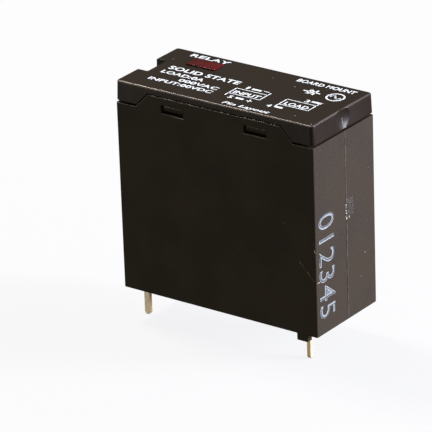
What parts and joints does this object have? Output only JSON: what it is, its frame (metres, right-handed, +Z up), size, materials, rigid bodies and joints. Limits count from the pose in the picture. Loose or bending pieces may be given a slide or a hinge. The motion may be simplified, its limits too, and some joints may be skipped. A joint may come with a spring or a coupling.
{
  "type": "solid state relay",
  "caption": "Board-mount solid state relay: tall black moulded case, clip-on lid with a red indicator window, flat blade terminals underneath, switching circuit on an upright board inside.",
  "frame": {"origin": "centre of the case's underside, the face between the feet; the feet and terminals reach below it", "axes": "+X along the case from the input terminals to the load terminals, +Y across the case away from the front long wall, +Z up from the board to the lid"},
  "size_m": [0.029, 0.0128, 0.0319],
  "materials": {
    "case_plastic": "fine moulded satin, black with a warm brown cast",
    "lid_plastic": "fine moulded satin, black with a warm brown cast",
    "window_lens": "glossy dark red translucent plastic",
    "terminal_metal": "solder-dipped copper alloy blade, dull silver",
    "board_laminate": "phenolic paper laminate",
    "lead_wire": "tinned copper wire",
    "package_epoxy": "black moulding epoxy",
    "spreader_aluminium": "rolled aluminium sheet",
    "capacitor_box": "moulded film capacitor box",
    "varistor_coating": "dipped epoxy coating",
    "lamp_epoxy": "tinted clear epoxy",
    "diode_epoxy": "black moulding epoxy",
    "resistor_coating": "dipped resistor coating",
    "lid_ink": "white pad-printed ink",
    "code_ink": "pale blue stamped ink"
  },
  "bodies": {
    "root": {"case_body": "case_plastic", "circuit_board": "board_laminate", "gate_resistor": "resistor_coating", "gate_resistor_lead_1": "lead_wire", "gate_resistor_lead_2": "lead_wire", "heat_spreader": "spreader_aluminium", "indicator_led": "lamp_epoxy", "indicator_led_lead_1": "lead_wire", "indicator_led_lead_2": "lead_wire", "indicator_window": "window_lens", "input_diode": "diode_epoxy", "input_diode_lead_1": "lead_wire", "input_diode_lead_2": "lead_wire", "input_resistor": "resistor_coating", "input_resistor_lead_1": "lead_wire", "input_resistor_lead_2": "lead_wire", "lid": "lid_plastic", "photocoupler_body": "package_epoxy", "photocoupler_lead_1": "lead_wire", "photocoupler_lead_2": "lead_wire", "photocoupler_lead_3": "lead_wire", "photocoupler_lead_4": "lead_wire", "photocoupler_lead_5": "lead_wire", "photocoupler_lead_6": "lead_wire", "snubber_capacitor": "capacitor_box", "snubber_capacitor_lead_1": "lead_wire", "snubber_capacitor_lead_2": "lead_wire", "snubber_resistor": "resistor_coating", "snubber_resistor_lead_1": "lead_wire", "snubber_resistor_lead_2": "lead_wire", "terminal_input_back": "terminal_metal", "terminal_input_front": "terminal_metal", "terminal_load_back": "terminal_metal", "terminal_load_front": "terminal_metal", "triac_lead_1": "lead_wire", "triac_lead_2": "lead_wire", "triac_lead_3": "lead_wire", "triac_package": "package_epoxy", "triac_rivet": "spreader_aluminium", "varistor_disc": "varistor_coating", "varistor_lead_1": "lead_wire", "varistor_lead_2": "lead_wire"}
  },
  "joints": []
}
